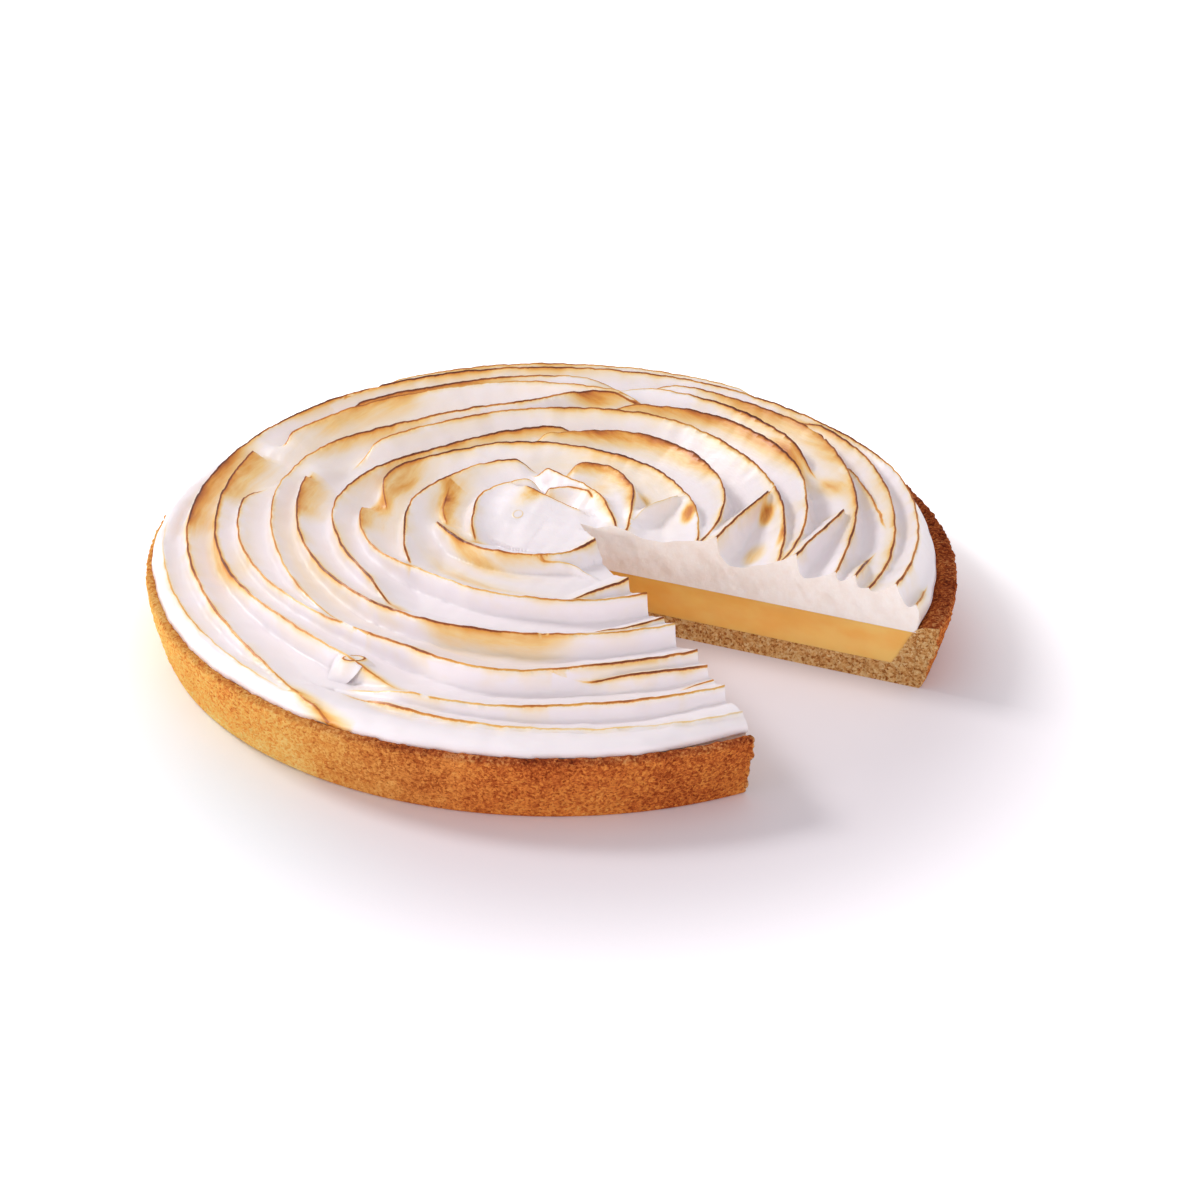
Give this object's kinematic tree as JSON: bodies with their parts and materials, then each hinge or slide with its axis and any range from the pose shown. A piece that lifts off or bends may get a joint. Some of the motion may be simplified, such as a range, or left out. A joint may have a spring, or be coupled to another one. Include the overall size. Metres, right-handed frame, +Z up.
{
  "type": "lemon meringue pie",
  "caption": "Round lemon tart in a short pastry case under a swirled, toasted meringue, with one slice cut out.",
  "frame": {"origin": "centre of the pastry case's bottom, on the surface that the pie stands on", "axes": "+Z up; +X to the right and -Y towards the viewer, with the missing slice between them"},
  "size_m": [0.2798, 0.2798, 0.0416],
  "materials": {
    "crust": "golden-brown baked short pastry, sandy crumb, paler where it is cut",
    "lemon": "smooth set lemon cream",
    "meringue": "satin white meringue, toasted brown along its crests, foamy where it is cut"
  },
  "bodies": {
    "root": {"crust": "crust", "lemon_filling": "lemon", "meringue": "meringue"}
  },
  "joints": []
}
